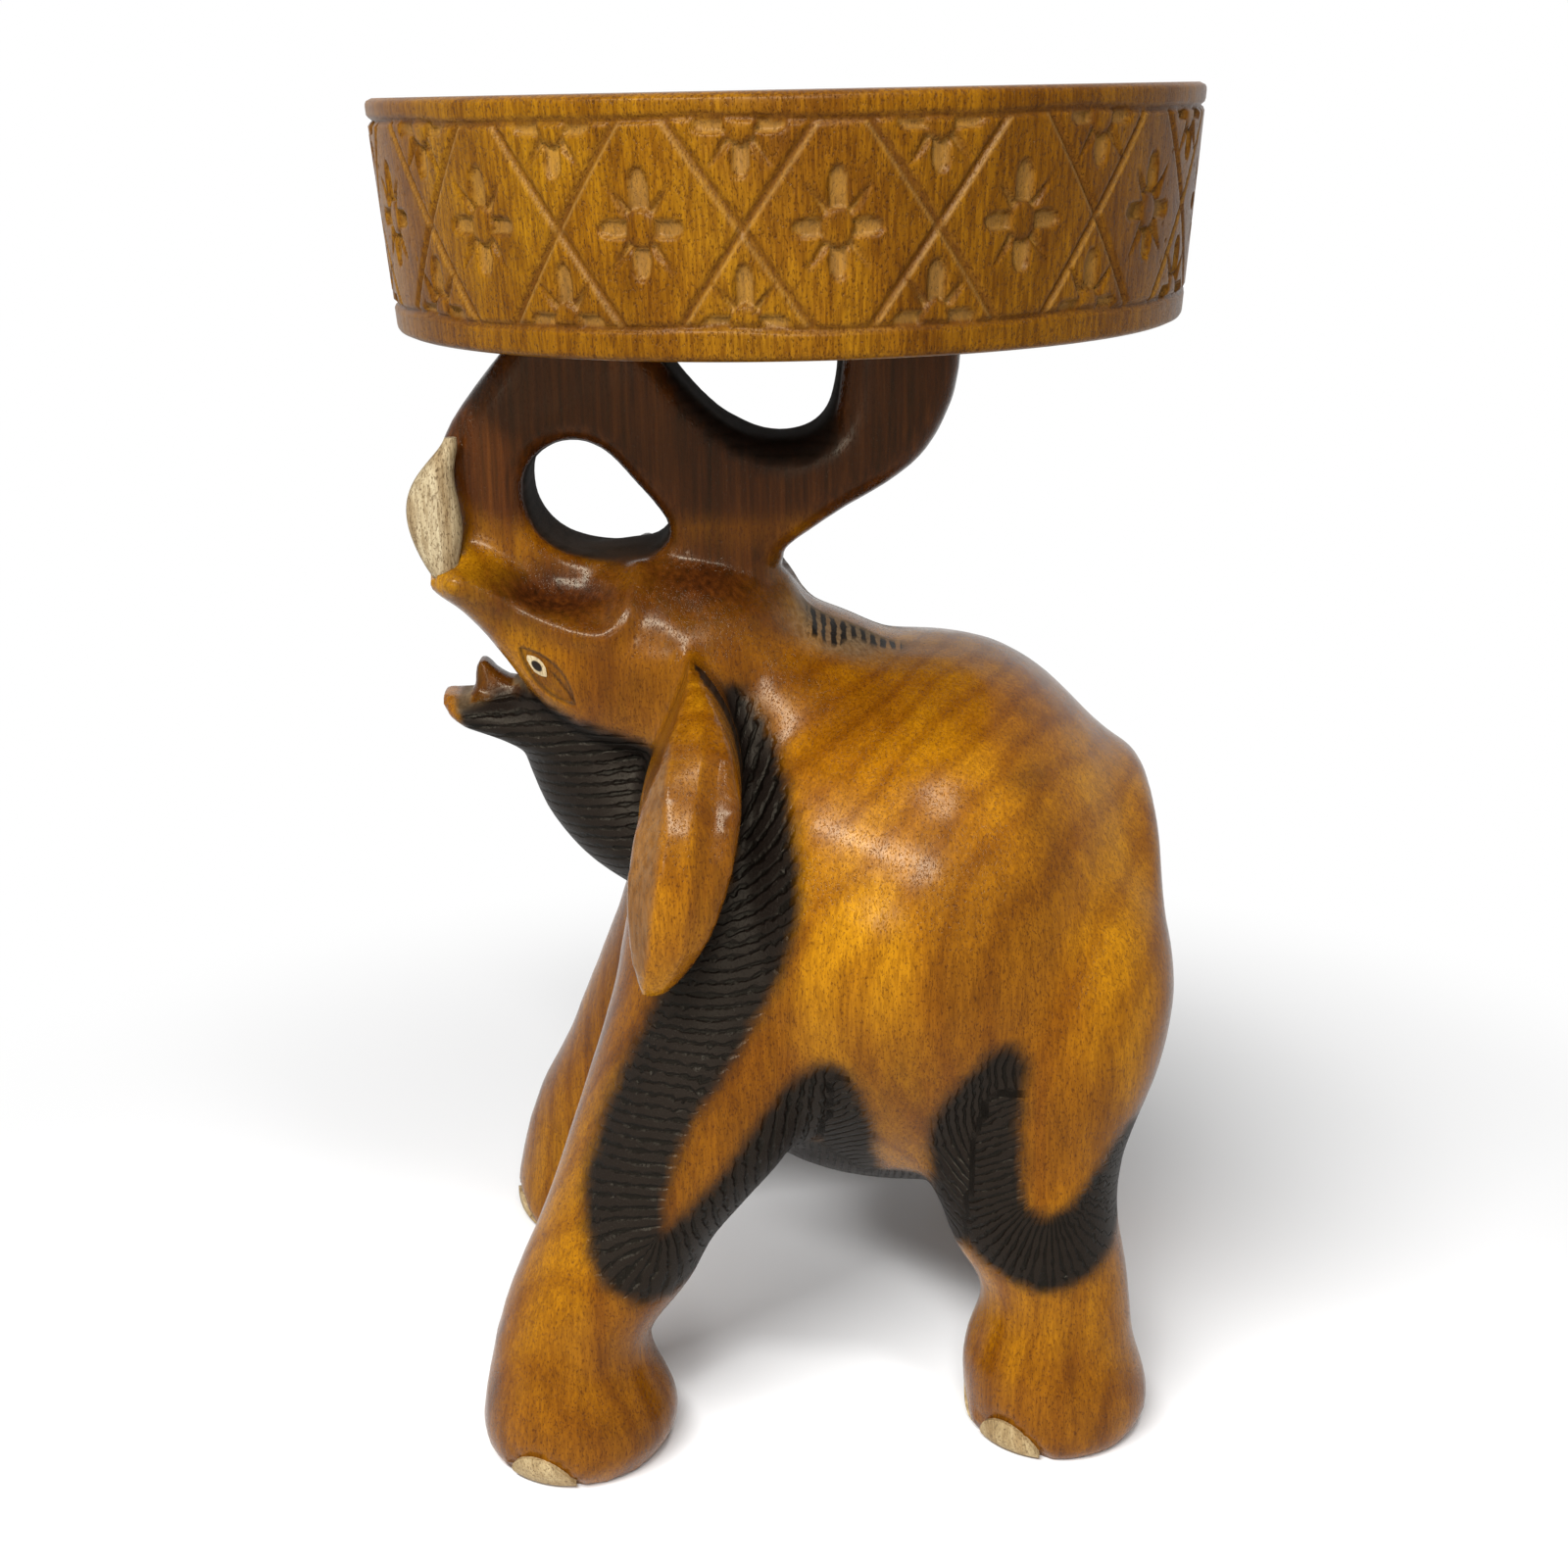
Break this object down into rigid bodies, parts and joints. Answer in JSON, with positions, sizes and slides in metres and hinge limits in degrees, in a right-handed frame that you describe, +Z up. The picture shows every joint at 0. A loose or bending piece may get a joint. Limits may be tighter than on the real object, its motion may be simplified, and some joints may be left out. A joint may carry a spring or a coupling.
{
  "type": "carved elephant stool",
  "caption": "Wooden stool carved as an elephant whose raised, looped trunk carries a round drum seat with a carved frieze.",
  "frame": {"origin": "on the floor, under the axis of the round seat", "axes": "+Z up; the elephant faces -X, so its left flank is on the -Y side"},
  "size_m": [0.2771, 0.2772, 0.46],
  "materials": {
    "stained_log_wood": "golden-brown stain under gloss lacquer, scorched black along the hair bands",
    "seat_wood": "golden-brown stain under gloss lacquer, grain upright",
    "dowel_wood": "bare",
    "pale_tusk_wood": "thin matt varnish over open pores",
    "eye_inlay": "painted white with a black pupil",
    "pale_nail_wood": "rough sawn end grain, matt"
  },
  "bodies": {
    "root": {"carved_elephant": "stained_log_wood", "round_seat": "seat_wood", "seat_pegs": "dowel_wood", "left_tusk": "pale_tusk_wood", "right_tusk": "pale_tusk_wood", "left_eye": "eye_inlay", "right_eye": "eye_inlay", "toenails_front_left": "pale_nail_wood", "toenails_front_right": "pale_nail_wood", "toenails_rear_left": "pale_nail_wood", "toenails_rear_right": "pale_nail_wood"}
  },
  "joints": []
}
